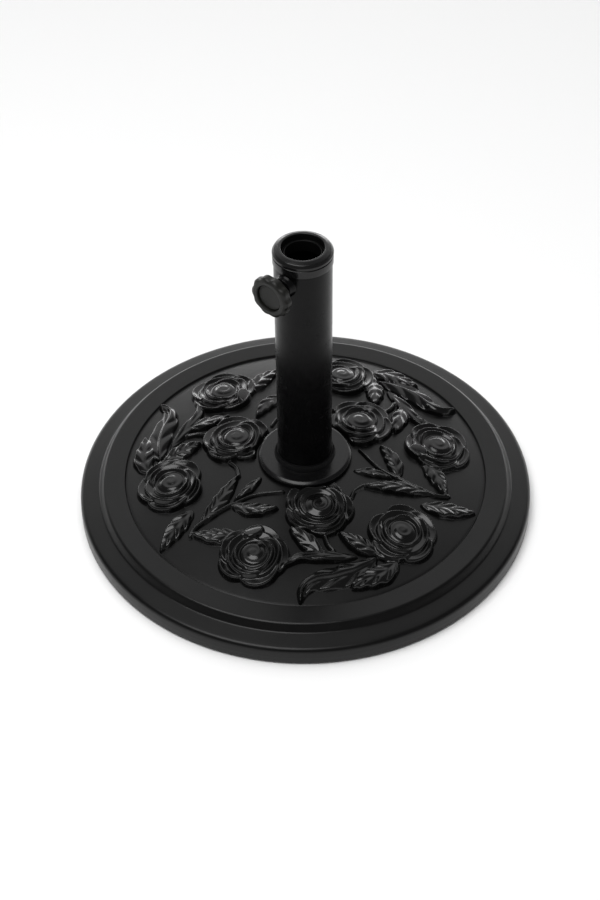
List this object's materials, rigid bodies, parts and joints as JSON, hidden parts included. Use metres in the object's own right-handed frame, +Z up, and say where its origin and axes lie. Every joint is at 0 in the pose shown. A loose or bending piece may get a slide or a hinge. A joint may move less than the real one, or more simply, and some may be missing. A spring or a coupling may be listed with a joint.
{
  "type": "parasol base",
  "caption": "Round weighted parasol base with a flower relief, an upright socket tube and a side clamp knob for the pole.",
  "frame": {"origin": "on the floor, under the middle of the round base", "axes": "+Z up along the tube and the pole; -Y is the front; the clamp knob points to the left of the front"},
  "size_m": [0.45, 0.45, 0.3044],
  "materials": {
    "shell_plastic": "satin black moulded plastic with a fine grain",
    "concrete": "cast grey concrete",
    "cover_plastic": "matt black moulded plastic",
    "zinc_steel": "zinc plated",
    "foot_rubber": "black rubber",
    "black_steel": "satin black coating",
    "cap_plastic": "half gloss black plastic",
    "knob_plastic": "matt dark grey plastic",
    "knob_cap_plastic": "matt dark grey plastic",
    "pad_plastic": "matt black plastic"
  },
  "bodies": {
    "stand": {"base_shell": "shell_plastic", "concrete_core": "concrete", "bottom_cover": "cover_plastic", "cover_screw_1": "zinc_steel", "cover_screw_2": "zinc_steel", "cover_screw_3": "zinc_steel", "cover_screw_4": "zinc_steel", "cover_screw_5": "zinc_steel", "cover_screw_6": "zinc_steel", "rubber_foot_1": "foot_rubber", "rubber_foot_2": "foot_rubber", "rubber_foot_3": "foot_rubber", "rubber_foot_4": "foot_rubber", "rubber_foot_5": "foot_rubber", "rubber_foot_6": "foot_rubber", "tube_flange": "black_steel", "weld_fillet": "black_steel", "stand_tube": "black_steel", "tube_end_plate": "zinc_steel", "pole_seat": "cap_plastic", "base_bolt": "zinc_steel", "spring_washer": "zinc_steel", "flat_washer": "zinc_steel", "top_cap": "cap_plastic", "reducer_ring": "cap_plastic", "weld_nut": "black_steel"},
    "clamp_pad": {"pressure_pad": "pad_plastic"},
    "clamp_knob": {"knob_body": "knob_plastic", "knob_cap": "knob_cap_plastic", "clamp_bolt": "black_steel"}
  },
  "joints": [
    {"name": "clamp_travel", "type": "slide", "parent": "stand", "child": "clamp_pad", "axis": [0.6198, 0.7848, 0], "range_m": [-0.00031, 0.005]},
    {"name": "clamp_turn", "type": "hinge", "parent": "clamp_pad", "child": "clamp_knob", "pos_m": [0, 0, 0.2771], "axis": [0.6198, 0.7848, 0], "range_deg": [-90.1, 1440.1]}
  ],
  "couplings": [
    {"joint": "clamp_turn", "follows": "clamp_travel", "rad_per_m": 5026.5}
  ]
}
